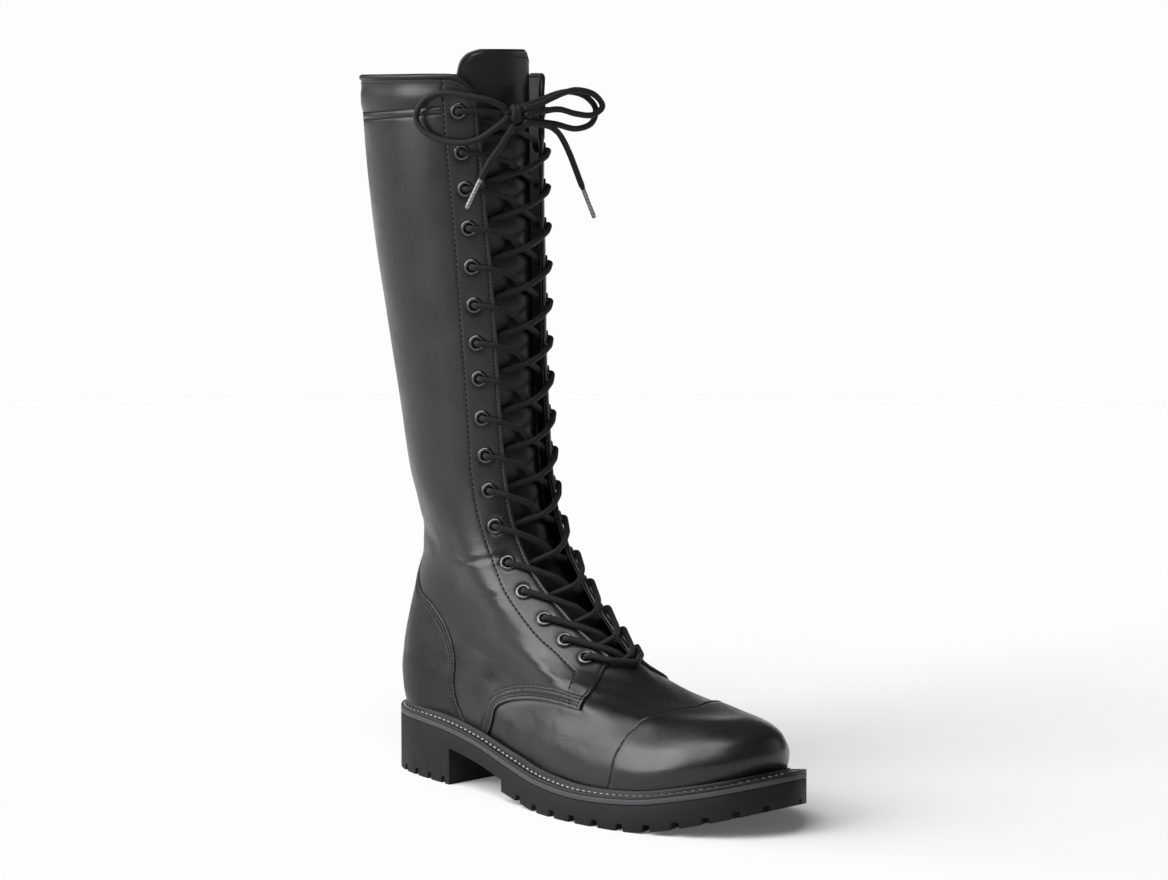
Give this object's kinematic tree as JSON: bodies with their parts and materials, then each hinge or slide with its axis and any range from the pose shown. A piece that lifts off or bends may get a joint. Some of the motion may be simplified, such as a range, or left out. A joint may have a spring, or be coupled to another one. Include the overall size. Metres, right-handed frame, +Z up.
{
  "type": "lace-up combat boot",
  "caption": "Tall black leather lace-up combat boot, right foot, with a cap toe, a lugged rubber sole and a zip in the shaft's inner side.",
  "frame": {"origin": "on the floor under the middle of the heel, at the heel tread's flat middle", "axes": "+Z up the shaft, +X towards the toe, +Y towards the medial (inner) side, -Y towards the lateral (outer) side"},
  "size_m": [0.323, 0.1146, 0.4312],
  "materials": {
    "black_leather": "smooth leather, semi gloss",
    "tongue_leather": "smooth leather, satin",
    "rubber": "matt moulded rubber",
    "grey_strip": "matt",
    "welt_rubber": "satin, with a row of white stitches",
    "insole_board": "matt lining",
    "gunmetal": "dark polished metal",
    "black_lace": "round waxed braid",
    "aglet_plastic": "clear sleeve over the lace",
    "zip_tape_cloth": "woven tape with black teeth",
    "zip_steel": "polished"
  },
  "bodies": {
    "boot": {"outsole": "rubber", "midsole": "grey_strip", "welt": "welt_rubber", "insole": "insole_board", "upper": "black_leather", "tongue": "tongue_leather", "lace_crossings": "black_lace", "lace_knot": "black_lace", "lace_loop_lateral": "black_lace", "lace_loop_medial_front": "black_lace", "lace_loop_medial_back": "black_lace", "lace_end_lateral": "black_lace", "lace_end_medial": "black_lace", "aglet_lateral": "aglet_plastic", "aglet_medial": "aglet_plastic", "zip_tape": "zip_tape_cloth", "zip_slider": "zip_steel", "eyelet_lateral_01": "gunmetal", "eyelet_lateral_02": "gunmetal", "eyelet_lateral_03": "gunmetal", "eyelet_lateral_04": "gunmetal", "eyelet_lateral_05": "gunmetal", "eyelet_lateral_06": "gunmetal", "eyelet_lateral_07": "gunmetal", "eyelet_lateral_08": "gunmetal", "eyelet_lateral_09": "gunmetal", "eyelet_lateral_10": "gunmetal", "eyelet_lateral_11": "gunmetal", "eyelet_lateral_12": "gunmetal", "eyelet_lateral_13": "gunmetal", "eyelet_lateral_14": "gunmetal", "eyelet_lateral_15": "gunmetal", "eyelet_lateral_16": "gunmetal", "eyelet_lateral_17": "gunmetal", "eyelet_medial_01": "gunmetal", "eyelet_medial_02": "gunmetal", "eyelet_medial_03": "gunmetal", "eyelet_medial_04": "gunmetal", "eyelet_medial_05": "gunmetal", "eyelet_medial_06": "gunmetal", "eyelet_medial_07": "gunmetal", "eyelet_medial_08": "gunmetal", "eyelet_medial_09": "gunmetal", "eyelet_medial_10": "gunmetal", "eyelet_medial_11": "gunmetal", "eyelet_medial_12": "gunmetal", "eyelet_medial_13": "gunmetal", "eyelet_medial_14": "gunmetal", "eyelet_medial_15": "gunmetal", "eyelet_medial_16": "gunmetal", "eyelet_medial_17": "gunmetal"},
    "zip_pull": {"zip_pull": "zip_steel"}
  },
  "joints": [
    {"name": "zip_pull_hinge", "type": "hinge", "parent": "boot", "child": "zip_pull", "pos_m": [0.02082, 0.04247, 0.40169], "axis": [0.9809, -0.1936, 0.0158], "range_deg": [0, 165]}
  ]
}
